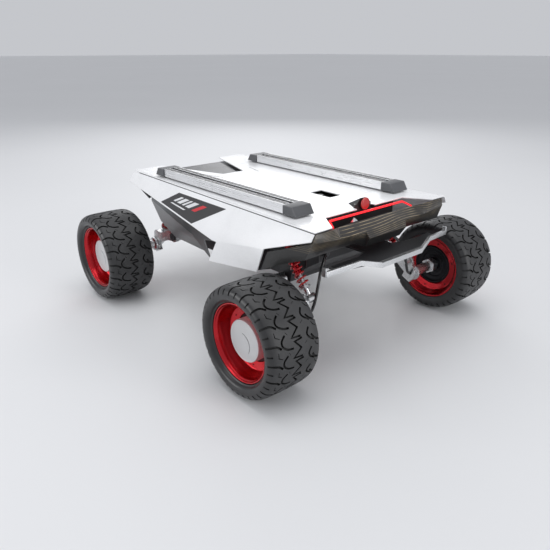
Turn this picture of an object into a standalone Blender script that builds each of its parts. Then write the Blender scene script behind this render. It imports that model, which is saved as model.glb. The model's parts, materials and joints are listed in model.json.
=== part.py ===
"""Four-wheel-drive robot chassis: hull, folded sheet cover, mounting rails,
four hub-motor wheels on sprung rocker arms.

Frame: +X forward, +Y left, +Z up. z = 0 is the ground, x = 0 is half way
between the axles, y = 0 is the plane of symmetry. Dimensions are in mm and are
turned into metres as the meshes are made.
"""
import math

import bmesh
import bpy
from mathutils import Matrix, Vector

MM = 0.001

# ---- driving dimensions, mm ----
WHEELBASE = 452.0
TRACK = 456.0
WHEEL_R = 84.4
TYRE_HALF_WIDTH = 45.6
RIM_SEAT_R = 59.7
MOTOR_R = 36.2
CAP_R = 32.1
AXLE_R = 9.0
GAP = 0.3

COVER_TOP = 231.2
SHEET = 2.0
CREASE_Y0 = 148.73          # crease distance from the centre plane at x = 0
CREASE_SLOPE = 0.0296       # and how fast it widens towards the front
SIDE_SLOPE = 1.65           # drop / outward run of the side panels

RAIL_Y = 115.1
RAIL_BOTTOM = 233.6
RAIL_TOP = 248.0
RAIL_HALF_WIDTH = 17.0
CAP_HALF_WIDTH = 19.55
RAIL_FRONT = 200.6          # over the end caps
RAIL_REAR = -203.1
END_CAP_LENGTH = 29.5

PIVOT = (150.0, 118.0)       # rocker arm axis: distance from x = 0, height
SHOCK_TOP = (164.0, 177.5)
SHOCK_FOOT = (219.0, 107.5)
SHOCK_Y = 119.0
ARM_Y0 = 129.3               # inner and outer faces of the arm plate
ARM_Y1 = 136.3
PIN_R = 4.0
BORE_R = 4.35
FOOT_BORE_R = 4.5            # the open pivot of the arm and shock loop
PIVOT_PIN_R = 5.0
PIVOT_BORE_R = 5.35

TUB_FLOOR = 118.0
TUB_TOP = 221.5

BUTTON_Z = 235.8
BUTTON_R = 9.8
BUTTON_TRAVEL = 3.5

for item in list(bpy.data.objects):
    bpy.data.objects.remove(item, do_unlink=True)
for group in list(bpy.data.collections):
    bpy.data.collections.remove(group)

PARTS = bpy.data.collections.new("four_wheel_robot_chassis")
CUTTERS = bpy.data.collections.new("cutters")
bpy.context.scene.collection.children.link(PARTS)
bpy.context.scene.collection.children.link(CUTTERS)


# ---- materials ----
def material(name, colour, metallic, roughness):
    found = bpy.data.materials.get(name)
    if found:
        return found
    made = bpy.data.materials.new(name)
    made.use_nodes = True
    shader = made.node_tree.nodes["Principled BSDF"]
    shader.inputs["Base Color"].default_value = (*colour, 1.0)
    shader.inputs["Metallic"].default_value = metallic
    shader.inputs["Roughness"].default_value = roughness
    made.diffuse_color = (*colour, 1.0)
    return made


LOOKS = {
    "white_sheet": ((0.82, 0.83, 0.85), 0.0, 0.3),
    "black_shell": ((0.025, 0.025, 0.027), 0.0, 0.4),
    "grey_skirt": ((0.33, 0.34, 0.35), 0.6, 0.4),
    "rail_metal": ((0.6, 0.61, 0.62), 0.9, 0.3),
    "dark_plastic": ((0.09, 0.095, 0.1), 0.0, 0.5),
    "tyre_rubber": ((0.02, 0.02, 0.02), 0.0, 0.7),
    "red_anodised": ((0.62, 0.02, 0.025), 0.9, 0.25),
    "silver_metal": ((0.7, 0.7, 0.71), 0.95, 0.3),
    "motor_black": ((0.03, 0.03, 0.033), 0.6, 0.4),
    "arm_black": ((0.035, 0.035, 0.038), 0.4, 0.45),
    "spring_red": ((0.55, 0.02, 0.02), 0.2, 0.3),
    "led_red": ((0.85, 0.03, 0.04), 0.0, 0.3),
    "button_red": ((0.6, 0.03, 0.03), 0.0, 0.35),
    "battery_blue": ((0.05, 0.1, 0.22), 0.0, 0.5),
}


def finish(thing, look, bevel=0.0, origin=None):
    """Give the object its own copy of a look, its bevel and its origin."""
    colour, metallic, roughness = LOOKS[look]
    thing.data.materials.clear()
    thing.data.materials.append(material(thing.name + "_" + look, colour, metallic, roughness))
    if bevel:
        edge = thing.modifiers.new("edge", "BEVEL")
        edge.width = bevel * MM
        edge.segments = 1
        edge.limit_method = "ANGLE"
        edge.angle_limit = math.radians(35.0)
        edge.use_clamp_overlap = True
    if origin is not None:
        at = Vector(origin) * MM
        thing.data.transform(Matrix.Translation(-at))
        thing.location = at
    return thing


# ---- shapes, each a bmesh in mm ----
def prism(outline, axis, low, high):
    """An outline pushed along an axis. X takes (y, z), Y takes (x, z), Z takes (x, y)."""
    place = {
        "X": lambda p, t: Vector((t, p[0], p[1])),
        "Y": lambda p, t: Vector((p[0], t, p[1])),
        "Z": lambda p, t: Vector((p[0], p[1], t)),
    }[axis]
    work = bmesh.new()
    face = work.faces.new([work.verts.new(place(p, low)) for p in outline])
    grown = bmesh.ops.extrude_face_region(work, geom=[face], use_keep_orig=True)
    moved = [part for part in grown["geom"] if isinstance(part, bmesh.types.BMVert)]
    bmesh.ops.translate(work, verts=moved, vec=place((0.0, 0.0), high - low))
    return work


def box(x0, x1, y0, y1, z0, z1):
    work = bmesh.new()
    middle = Vector((x0 + x1, y0 + y1, z0 + z1)) / 2.0
    size = Matrix.Diagonal((x1 - x0, y1 - y0, z1 - z0, 1.0))
    bmesh.ops.create_cube(work, size=1.0, matrix=Matrix.Translation(middle) @ size)
    return work


def turned(profile, base, along, steps):
    """A closed (radius, distance) profile spun about a line from base."""
    along = Vector(along).normalized()
    down = Vector((0.0, 0.0, -1.0))
    side = (down - along * along.dot(down)).normalized()
    base = Vector(base)
    work = bmesh.new()
    line = [work.verts.new(base + along * height + side * radius) for radius, height in profile]
    for k, (radius, height) in enumerate(profile):
        n = (k + 1) % len(profile)
        if radius > 0.0 or profile[n][0] > 0.0:
            work.edges.new((line[k], line[n]))
    bmesh.ops.spin(work, geom=work.verts[:] + work.edges[:], cent=base, axis=along, dvec=(0.0, 0.0, 0.0),
                   angle=2.0 * math.pi, steps=steps, use_merge=True, use_duplicate=False)
    bmesh.ops.remove_doubles(work, verts=work.verts, dist=0.001)
    return work


def rod(base, along, radius, low, high, steps=20):
    along = Vector(along).normalized()
    work = bmesh.new()
    at = Matrix.Translation(Vector(base) + along * (low + high) / 2.0)
    bmesh.ops.create_cone(work, cap_ends=True, cap_tris=False, segments=steps, radius1=radius, radius2=radius,
                          depth=high - low, matrix=at @ along.to_track_quat("Z", "Y").to_matrix().to_4x4())
    return work


def wire(points, radius):
    """A round wire along points: a curve with a bevel and filled caps, made a closed mesh."""
    curve = bpy.data.curves.new("wire", "CURVE")
    curve.dimensions = "3D"
    curve.bevel_depth = radius
    curve.bevel_resolution = 1
    curve.use_fill_caps = True
    line = curve.splines.new("POLY")
    line.points.add(len(points) - 1)
    for spot, point in zip(line.points, points):
        spot.co = (*point, 1.0)
    guide = bpy.data.objects.new("wire", curve)
    bpy.context.scene.collection.objects.link(guide)
    mesh = bpy.data.meshes.new_from_object(guide.evaluated_get(bpy.context.evaluated_depsgraph_get()))
    work = bmesh.new()
    work.from_mesh(mesh)
    bmesh.ops.remove_doubles(work, verts=work.verts, dist=0.001)
    bpy.data.objects.remove(guide, do_unlink=True)
    bpy.data.meshes.remove(mesh)
    return work


def hand_made(verts, faces):
    """A folded sheet or a faceted solid that no primitive makes."""
    work = bmesh.new()
    made = [work.verts.new(v) for v in verts]
    for face in faces:
        work.faces.new([made[i] for i in face])
    return work


def raw(name, work, where, outward=None):
    """Turn a bmesh in mm into an object in metres."""
    bmesh.ops.scale(work, vec=(MM, MM, MM), verts=work.verts)
    bmesh.ops.recalc_face_normals(work, faces=work.faces)
    if outward is not None:
        total = Vector((0.0, 0.0, 0.0))
        for face in work.faces:
            total += face.normal * face.calc_area()
        if total.dot(Vector(outward)) < 0.0:
            bmesh.ops.reverse_faces(work, faces=work.faces)
    mesh = bpy.data.meshes.new(name)
    work.to_mesh(mesh)
    work.free()
    thing = bpy.data.objects.new(name, mesh)
    where.objects.link(thing)
    return thing


def join(target, shape, operation):
    tag = {"UNION": "add", "DIFFERENCE": "cut"}[operation]
    cutter = raw("%s_%s_%02d" % (target.name, tag, len(target.modifiers)), shape, CUTTERS)
    cutter.hide_render = True
    cutter.display_type = "WIRE"
    step = target.modifiers.new(cutter.name, "BOOLEAN")
    step.operation = operation
    step.object = cutter
    step.solver = "EXACT"
    return step


def solid(name, shape, look, adds=(), cuts=(), bevel=0.0, origin=None):
    thing = raw(name, shape, PARTS)
    for extra in adds:
        join(thing, extra, "UNION")
    for extra in cuts:
        join(thing, extra, "DIFFERENCE")
    if origin is not None:
        at = Vector(origin) * MM
        thing.data.transform(Matrix.Translation(-at))
        thing.location = at
    return finish(thing, look, bevel)


def sheet(name, verts, faces, look, thickness, outward, mirrored=False):
    """A folded sheet: one open surface given its thickness on the inner side."""
    thing = raw(name, hand_made(verts, faces), PARTS, outward)
    if mirrored:
        flip = thing.modifiers.new("mirror", "MIRROR")
        flip.use_axis = (False, True, False)
        flip.use_clip = True
        flip.merge_threshold = 0.0001
    thick = thing.modifiers.new("thickness", "SOLIDIFY")
    thick.thickness = thickness * MM
    thick.offset = -1.0
    thick.use_even_offset = True
    return finish(thing, look)


def crease(x):
    return CREASE_Y0 + CREASE_SLOPE * x


def side_y(x, z):
    """Distance of the side panel's outer surface from the centre plane."""
    return crease(x) + (COVER_TOP - z) / SIDE_SLOPE


# ---- top cover ----
half = [(220.0, -92.5), (260.5, -120.0), (261.8, -crease(262.0) + 0.2), (-278.0, -crease(-278.0) + 0.2),
        (-283.0, -138.0), (-283.0, -75.0), (-129.0, -25.5)]
outline = half + [(x, -y) for x, y in reversed(half)]
solid("top_cover", prism(outline, "Z", COVER_TOP - SHEET, COVER_TOP), "white_sheet",
      cuts=[box(94.0, 142.3, -1.6, 26.8, COVER_TOP - 8.0, COVER_TOP + 8.0),
            prism([(207.5, -17.0), (214.0, -21.5), (230.0, -21.5), (230.0, 21.5), (214.0, 21.5), (207.5, 17.0)], "Z",
                  COVER_TOP - 8.0, COVER_TOP + 8.0)])

# ---- folded side panels ----
for side, tag in ((-1.0, "right"), (1.0, "left")):
    def at(x, z, shift=0.0):
        return (x, side * (side_y(x, z) + shift), z)

    top = COVER_TOP - SHEET - GAP
    verts = [at(262.0, top), at(-278.0, top), at(-283.3, 210.0), at(55.2, 174.2),
             (67.2, side * 184.8, 174.1), at(179.2, 190.8), at(261.5, 218.9),
             (157.0, side * 174.0, 146.5), (37.5, side * 181.6, 132.3)]
    faces = [(0, 1, 2, 3, 4, 5, 6), (4, 5, 7, 8)]
    sheet("side_panel_" + tag, verts, faces, "white_sheet", SHEET, (0.0, side, 0.3))

# ---- lower skirts, with a ridge between two facets ----
for side, tag in ((-1.0, "right"), (1.0, "left")):
    verts = [(-202.0, 147.0, 194.5), (-40.0, 163.5, 178.0), (46.0, 171.0, 166.5),
             (-202.0, 150.0, 185.0), (-40.0, 160.0, 153.0), (2.0, 164.0, 156.0),
             (-13.0, 155.0, 130.0), (-134.8, 141.0, 122.4), (-186.3, 141.0, 143.1),
             (8.0, 158.0, 123.0)]
    verts = [(x, side * y, z) for x, y, z in verts]
    faces = [(0, 1, 4, 3), (1, 2, 5, 4), (3, 4, 6, 7, 8), (4, 5, 9, 6)]
    sheet("skirt_" + tag, verts, faces, "grey_skirt", SHEET, (0.0, side, 0.0))

# ---- hull ----
half = [(-206.0, -88.0), (-194.0, -104.0), (-108.0, -104.0), (-98.0, -124.0), (98.0, -124.0), (108.0, -104.0),
        (194.0, -104.0), (206.0, -88.0)]
tub = half + [(x, -y) for x, y in reversed(half)]
n = len(tub)


def floor_height(x):
    return TUB_FLOOR + max(0.0, abs(x) - 158.0) * 0.75


middle = [i for i, (x, y) in enumerate(tub) if abs(x) < 110.0]
front = [i for i, (x, y) in enumerate(tub) if x > 110.0]
rear = [i for i, (x, y) in enumerate(tub) if x < -110.0]
verts = [(x, y, floor_height(x)) for x, y in tub] + [(x, y, TUB_TOP) for x, y in tub]
k = len(verts)
verts += [(158.0, -104.0, TUB_FLOOR), (158.0, 104.0, TUB_FLOOR), (-158.0, 104.0, TUB_FLOOR),
          (-158.0, -104.0, TUB_FLOOR)]
# outline order: 0..7 is the right side from rear to front, 8..15 the left side from front to rear
faces = [
    (2, 3, 4, 5, k, k + 1, 10, 11, 12, 13, k + 2, k + 3),
    (k, 6, 9, k + 1), (6, 7, 8, 9),
    (k + 2, 14, 1, k + 3), (14, 15, 0, 1),
    (1, k + 3, 2, n + 2, n + 1), (5, k, 6, n + 6, n + 5), (9, k + 1, 10, n + 10, n + 9),
    (13, k + 2, 14, n + 14, n + 13),
]
faces += [(i, (i + 1) % n, n + (i + 1) % n, n + i) for i in range(n) if i not in (1, 5, 9, 13)]
sheet("hull_tub", verts, faces, "black_shell", 3.0, (0.0, 0.0, -1.0))

solid("battery_pack", box(-150.0, 60.0, -75.0, 75.0, TUB_FLOOR + 3.4, 204.0), "battery_blue", bevel=4.0)
solid("connector_panel", box(86.0, 150.0, -8.0, 33.0, 212.0, 222.0), "dark_plastic",
      adds=[rod((106.0, 12.6, 0.0), (0, 0, 1), 6.0, 221.0, 227.0, 16),
            rod((129.0, 12.6, 0.0), (0, 0, 1), 8.0, 221.0, 225.0, 16)])

# ---- front and rear black panels ----
verts = [
    (227.0, 0.0, 213.0), (227.0, -84.0, 213.0),
    (243.0, 0.0, 221.0), (243.0, -50.0, 221.0), (243.0, -88.0, 220.5),
    (258.5, -116.0, 226.6), (259.0, -151.0, 226.6),
    (262.0, 0.0, 210.0), (262.0, -48.0, 210.0), (261.0, -102.0, 209.5), (258.5, -157.0, 214.0),
    (267.5, 0.0, 200.0), (267.5, -45.0, 200.0),
    (258.0, 0.0, 184.0), (258.0, -42.0, 184.0),
    (251.0, -60.0, 191.0), (250.0, -110.0, 190.0), (248.0, -161.0, 188.0),
    (180.0, -172.0, 185.0), (160.0, -169.0, 149.0), (212.0, -166.0, 174.0),
]
faces = [(0, 1, 4, 3, 2), (2, 3, 8, 7), (3, 4, 9, 8), (4, 5, 9), (5, 6, 10, 9),
         (7, 8, 12, 11), (11, 12, 14, 13), (8, 15, 14, 12), (8, 9, 16, 15), (9, 10, 17, 16),
         (10, 18, 19, 20, 17)]
sheet("front_panel", verts, faces, "black_shell", 2.2, (1.0, 0.0, 0.2), mirrored=True)

verts = [
    (-118.0, 0.0, 224.5), (-118.0, -34.0, 224.5), (-268.0, 0.0, 224.5), (-268.0, -84.0, 224.5),
    (-271.0, -137.0, 226.6), (-264.0, 0.0, 196.0), (-264.0, -78.0, 196.0), (-276.0, -146.5, 208.0),
    (-250.0, 0.0, 158.0), (-250.0, -70.0, 158.0), (-254.0, -118.0, 176.0), (-210.0, -150.0, 186.0),
]
faces = [(0, 1, 3, 2), (2, 3, 6, 5), (3, 4, 7, 6), (5, 6, 9, 8), (6, 7, 10, 9), (7, 11, 10)]
sheet("rear_panel", verts, faces, "black_shell", 2.2, (-1.0, 0.0, 0.2), mirrored=True)

# ---- light strip in the front notch ----
path = [(238.6, -94.5, 219.6), (224.2, -88.0, 225.4), (224.2, 88.0, 225.4), (238.6, 94.5, 219.6)]
verts, faces = [], []
for x, y, z in path:
    verts += [(x - 1.4, y, z - 1.4), (x + 1.4, y, z - 1.4), (x + 1.4, y, z + 1.4), (x - 1.4, y, z + 1.4)]
for k in range(3):
    for i in range(4):
        j = (i + 1) % 4
        faces.append((4 * k + i, 4 * k + j, 4 * k + 4 + j, 4 * k + 4 + i))
faces += [(0, 1, 2, 3), (12, 13, 14, 15)]
solid("light_strip", hand_made(verts, faces), "led_red")

# ---- stop button and its housing on the front edge ----
base = [(212.6, -20.0), (212.6, 20.0), (188.5, 7.6), (188.5, -7.6)]
verts = [(x, y, COVER_TOP + GAP) for x, y in base] + [(212.6, -6.5, 244.8), (212.6, 6.5, 244.8)]
faces = [(0, 1, 2, 3), (0, 1, 5, 4), (1, 2, 5), (2, 3, 4, 5), (3, 0, 4)]
solid("stop_button_housing", hand_made(verts, faces), "dark_plastic",
      adds=[prism([(207.9, -16.5), (212.6, -20.0), (212.6, 20.0), (207.9, 16.5)], "Z", 222.5, 236.0)],
      cuts=[rod((0.0, 0.0, BUTTON_Z), (1, 0, 0), 3.4, 203.6, 216.0, 20)])
solid("stop_button", turned([(0.0, 207.5), (3.0, 207.5), (3.0, 216.3), (BUTTON_R - 0.8, 216.3), (BUTTON_R, 217.0),
                             (BUTTON_R, 218.6), (BUTTON_R - 1.4, 219.6), (0.0, 220.0)],
                            (0.0, 0.0, BUTTON_Z), (1, 0, 0), 28), "button_red", origin=(217.0, 0.0, BUTTON_Z))
verts = [(233.0, -52.0, 217.6), (240.5, -52.0, 220.9), (240.5, -42.0, 220.9), (233.0, -42.0, 217.6),
         (236.0, -46.0, 226.0)]
solid("hatch_latch", hand_made(verts, [(0, 1, 2, 3), (0, 1, 4), (1, 2, 4), (2, 3, 4), (3, 0, 4)]), "silver_metal")

# ---- slotted mounting rails and their end caps ----
slot = [(-12.0, -2.0), (12.0, -2.0), (12.0, 0.0), (17.0, 0.0), (17.0, 14.4), (4.0, 14.4), (4.0, 12.4),
        (8.0, 12.4), (8.0, 6.5), (-8.0, 6.5), (-8.0, 12.4), (-4.0, 12.4), (-4.0, 14.4), (-17.0, 14.4), (-17.0, 0.0),
        (-12.0, 0.0)]
rail_low = RAIL_REAR + END_CAP_LENGTH
rail_high = RAIL_FRONT - END_CAP_LENGTH
for side, tag in ((-1.0, "right"), (1.0, "left")):
    profile = [(side * RAIL_Y + u, RAIL_BOTTOM + w) for u, w in slot]
    solid("rail_" + tag, prism(profile, "X", rail_low + GAP, rail_high - GAP), "rail_metal")
    for end, place in ((1.0, "front"), (-1.0, "rear")):
        inner = rail_high if end > 0 else rail_low
        tip = RAIL_FRONT if end > 0 else RAIL_REAR
        outline = [(inner, RAIL_BOTTOM), (tip, RAIL_BOTTOM), (tip - end * 9.0, RAIL_TOP), (inner, RAIL_TOP)]
        solid("end_cap_%s_%s" % (place, tag),
              prism(outline, "Y", side * RAIL_Y - CAP_HALF_WIDTH, side * RAIL_Y + CAP_HALF_WIDTH),
              "dark_plastic", bevel=0.8)

# ---- bent bumper bar and its mount ----
half = [(276.3, -146.8, 171.7), (286.0, -84.7, 176.0), (296.6, -48.8, 167.0)]
path = half + [(x, -y, z) for x, y, z in reversed(half)]
verts, faces = [], []
for k, (x, y, z) in enumerate(path):
    before = Vector(path[max(k - 1, 0)])
    after = Vector(path[min(k + 1, len(path) - 1)])
    run = (after - before).normalized()
    out = run.cross(Vector((0.0, 0.0, 1.0))).normalized()
    up = out.cross(run).normalized()
    for a, b in ((-2.0, -4.0), (2.0, -4.0), (2.0, 4.0), (-2.0, 4.0)):
        verts.append(tuple(Vector((x, y, z)) + out * a + up * b))
for k in range(len(path) - 1):
    for i in range(4):
        j = (i + 1) % 4
        faces.append((4 * k + i, 4 * k + j, 4 * k + 4 + j, 4 * k + 4 + i))
last = 4 * (len(path) - 1)
faces += [(0, 1, 2, 3), (last, last + 1, last + 2, last + 3)]
tabs = [box(270.5, 277.2, s * 146.8 - 1.6, s * 146.8 + 1.6, 167.6, 181.0) for s in (-1.0, 1.0)]
solid("bumper_bar", hand_made(verts, faces), "silver_metal", adds=tabs)
half = [(206.4, -34.0), (250.0, -34.0), (258.0, -58.0), (258.0, -122.0), (277.0, -122.0), (283.0, -84.7),
        (293.6, -49.5)]
outline = half + [(x, -y) for x, y in reversed(half)]
solid("bumper_mount", prism(outline, "Z", 167.8, 171.4), "arm_black")


# ---- suspension carriers: a saddle under the hull with cheeks and pins on both sides ----
def xz(end, points):
    return [(end * u, z) for u, z in points]


for end, place in ((1.0, "front"), (-1.0, "rear")):
    adds = []
    for side in (-1.0, 1.0):
        out = (0.0, side, 0.0)
        cheek = xz(end, [(140.0, 110.0), (158.0, 110.0), (163.0, 116.0), (174.0, 166.0), (174.0, 182.0), (166.0, 188.0),
                         (156.0, 188.0), (150.0, 180.0), (137.0, 128.0), (137.0, 113.0)])
        low, high = min(side * 104.4, side * 108.9), max(side * 104.4, side * 108.9)
        adds.append(prism(cheek, "Y", low, high))
        adds.append(rod((end * PIVOT[0], 0.0, PIVOT[1]), out, PIVOT_PIN_R, 107.0, 138.0, 20))
        adds.append(rod((end * PIVOT[0], 0.0, PIVOT[1]), out, 8.5, ARM_Y1 + 0.4, 140.0, 6))
        adds.append(rod((end * SHOCK_TOP[0], 0.0, SHOCK_TOP[1]), out, PIN_R, 107.0, 129.0, 16))
        adds.append(rod((end * SHOCK_TOP[0], 0.0, SHOCK_TOP[1]), out, 6.5, 127.6, 130.6, 6))
    low, high = min(end * 141.0, end * 157.0), max(end * 141.0, end * 157.0)
    solid("suspension_carrier_" + place, box(low, high, -108.0, 108.0, 110.4, TUB_FLOOR - GAP), "arm_black", adds)

# ---- four corners ----
reach = (Vector(SHOCK_FOOT) - Vector(SHOCK_TOP)).length
for end, place in ((1.0, "front"), (-1.0, "rear")):
    for side, tag in ((-1.0, "right"), (1.0, "left")):
        name = "_%s_%s" % (place, tag)
        cx = end * WHEELBASE / 2.0
        hub = (cx, side * TRACK / 2.0, WHEEL_R)
        out = (0.0, side, 0.0)
        pivot = (end * PIVOT[0], side * (ARM_Y0 + ARM_Y1) / 2.0, PIVOT[1])
        top = (end * SHOCK_TOP[0], side * SHOCK_Y, SHOCK_TOP[1])
        down = Vector((end * (SHOCK_FOOT[0] - SHOCK_TOP[0]), 0.0, SHOCK_FOOT[1] - SHOCK_TOP[1])).normalized()
        foot = Vector(top) + down * reach

        # tyre, rim, motor and cap
        solid("tyre" + name, turned(
            [(60.0, -42.0), (60.0, 35.5), (62.5, 39.0), (68.0, 43.2), (75.0, 45.6), (80.6, 44.6), (83.6, 41.0),
             (84.4, 34.0), (84.4, -34.0), (83.6, -41.0), (80.6, -44.6), (75.0, -45.6), (68.0, -45.0),
             (62.5, -44.2)], hub, out, 36), "tyre_rubber", origin=hub)
        solid("rim" + name, turned(
            [(RIM_SEAT_R, -43.3), (RIM_SEAT_R, 36.3), (57.1, 36.8), (55.2, 34.5), (51.0, 22.0), (45.0, 11.5),
             (40.0, 8.5), (36.6, 8.5), (36.6, -29.3), (39.0, -30.2), (49.0, -33.5), (55.5, -40.0), (57.8, -43.6)],
            hub, out, 36), "red_anodised", origin=hub)
        solid("hub_motor" + name, turned(
            [(0.0, 7.0), (MOTOR_R, 7.0), (MOTOR_R, -29.6), (31.0, -29.6), (28.0, -25.0), (9.3, -25.0),
             (9.3, -3.0), (0.0, -3.0)], hub, out, 28), "motor_black", origin=hub)
        solid("hub_cap" + name, turned(
            [(0.0, 7.3), (30.0, 7.3), (CAP_R, 9.0), (CAP_R, 24.8), (30.6, 26.6), (0.0, 26.6)],
            hub, out, 32), "silver_metal", origin=hub)

        # rocker arm: a plate with a pivot barrel at one end and the axle's seat at the other
        plate = xz(end, [(237.0, 88.0), (235.0, 77.0), (225.5, 66.5), (209.0, 74.5), (212.5, 83.5), (195.0, 97.0),
                         (172.0, 105.0), (158.0, 107.0), (150.0, 106.0), (141.5, 109.5), (138.0, 118.0),
                         (141.5, 126.5), (150.0, 130.0), (176.0, 124.5), (200.0, 114.0), (212.0, 115.6),
                         (222.0, 115.4), (227.6, 109.5), (228.5, 101.0)])
        low, high = min(side * ARM_Y0, side * ARM_Y1), max(side * ARM_Y0, side * ARM_Y1)
        centre = (end * PIVOT[0], 0.0, PIVOT[1])
        solid("rocker_arm" + name, prism(plate, "Y", low, high), "silver_metal",
              adds=[rod(centre, out, 10.0, 112.6, 133.0, 24),
                    rod((end * SHOCK_FOOT[0], 0.0, SHOCK_FOOT[1]), out, PIN_R, 110.6, 131.0, 16)],
              cuts=[rod(centre, out, PIVOT_BORE_R, 111.0, 139.0, 20),
                    rod((cx, 0.0, WHEEL_R), out, 3.4, 125.0, 139.0, 16)], origin=pivot)

        # axle with its flange against the arm and its nut at the motor
        solid("axle" + name, turned(
            [(3.4, ARM_Y1 + GAP), (14.0, ARM_Y1 + GAP), (14.0, ARM_Y1 + 5.0), (9.0, ARM_Y1 + 7.0), (9.0, 222.0),
             (0.0, 222.0), (0.0, ARM_Y1 + 12.0), (3.4, ARM_Y1 + 12.0)], (cx, 0.0, WHEEL_R), out, 24), "silver_metal",
              adds=[rod((cx, 0.0, WHEEL_R), out, 14.0, 184.0, 197.0, 6)], origin=hub)

        # shock: upper tube with spring seat, lower rod with spring seat, coil between
        solid("shock_body" + name, turned(
            [(0.0, 5.4), (5.4, 5.4), (6.0, 9.0), (6.0, 12.0), (9.6, 12.0), (9.6, 15.0), (6.0, 15.0), (6.0, 50.0),
             (4.35, 50.0), (4.35, 20.0), (0.0, 20.0)], top, down, 20), "red_anodised",
              adds=[turned([(BORE_R, -8.2), (7.0, -8.2), (7.0, 8.2), (BORE_R, 8.2)], top, out, 20)], origin=top)
        solid("shock_rod" + name, turned(
            [(0.0, 27.0), (3.9, 27.0), (3.9, 69.0), (9.6, 69.0), (9.6, 72.0), (5.0, 73.5), (5.0, reach - 5.6),
             (0.0, reach - 5.6)], top, down, 20), "silver_metal",
              adds=[turned([(FOOT_BORE_R, -8.2), (7.2, -8.2), (7.2, 8.2), (FOOT_BORE_R, 8.2)], foot, out, 20)],
              origin=foot)

        turns, per_turn = 6.5, 14
        low, high = 15.3 + 1.6, 68.7 - 1.6
        across = Vector((0.0, 1.0, 0.0))
        third = down.cross(across)
        steps = int(turns * per_turn)
        points = []
        for k in range(steps + 1):
            angle = 2.0 * math.pi * k / per_turn
            radial = across * math.cos(angle) + third * math.sin(angle)
            points.append(Vector(top) + down * (low + (high - low) * k / steps) + radial * 8.1)
        solid("shock_spring" + name, wire(points, 1.45), "spring_red", origin=top)
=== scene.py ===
"""Looks of the four wheel robot chassis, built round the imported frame."""

import json
import math

import bmesh
import bpy
from mathutils import Matrix, Vector
from mathutils.geometry import delaunay_2d_cdt

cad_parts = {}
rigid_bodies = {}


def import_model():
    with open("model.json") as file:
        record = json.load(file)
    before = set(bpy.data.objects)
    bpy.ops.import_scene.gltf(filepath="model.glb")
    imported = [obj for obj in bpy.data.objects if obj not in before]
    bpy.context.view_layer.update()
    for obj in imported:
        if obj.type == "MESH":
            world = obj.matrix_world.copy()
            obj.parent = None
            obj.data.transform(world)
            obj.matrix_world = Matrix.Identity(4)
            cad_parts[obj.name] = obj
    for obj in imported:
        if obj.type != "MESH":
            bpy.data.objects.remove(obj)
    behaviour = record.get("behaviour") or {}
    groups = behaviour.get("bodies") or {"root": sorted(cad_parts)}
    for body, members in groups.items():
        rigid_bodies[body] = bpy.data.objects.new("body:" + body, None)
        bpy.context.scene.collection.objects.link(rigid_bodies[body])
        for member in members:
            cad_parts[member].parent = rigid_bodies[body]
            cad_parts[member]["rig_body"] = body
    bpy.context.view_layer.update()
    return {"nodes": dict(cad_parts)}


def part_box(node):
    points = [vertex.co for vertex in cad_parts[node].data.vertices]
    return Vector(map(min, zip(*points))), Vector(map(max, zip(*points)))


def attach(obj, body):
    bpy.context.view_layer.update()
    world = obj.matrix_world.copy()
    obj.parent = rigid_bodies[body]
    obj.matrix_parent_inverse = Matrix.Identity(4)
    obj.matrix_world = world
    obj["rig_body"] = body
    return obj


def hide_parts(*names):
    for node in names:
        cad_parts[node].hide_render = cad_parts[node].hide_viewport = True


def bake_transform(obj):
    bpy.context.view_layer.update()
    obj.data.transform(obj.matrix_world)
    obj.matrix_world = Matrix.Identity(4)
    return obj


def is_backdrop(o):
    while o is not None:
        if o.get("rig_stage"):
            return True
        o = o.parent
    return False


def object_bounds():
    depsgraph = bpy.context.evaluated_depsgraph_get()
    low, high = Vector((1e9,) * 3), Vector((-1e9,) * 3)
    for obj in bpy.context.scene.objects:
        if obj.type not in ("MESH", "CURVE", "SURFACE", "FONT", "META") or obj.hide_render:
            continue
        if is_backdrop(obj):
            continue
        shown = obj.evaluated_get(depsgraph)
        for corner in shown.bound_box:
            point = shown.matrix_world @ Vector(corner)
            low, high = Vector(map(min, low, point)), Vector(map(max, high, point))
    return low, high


MM = 0.001
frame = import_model()
NODES = frame["nodes"]
SCENE = bpy.context.scene
CORNERS = [(e, s, "_%s_%s" % ("front" if e > 0 else "rear", "left" if s > 0 else "right"))
           for e in (1, -1) for s in (-1, 1)]


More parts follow.
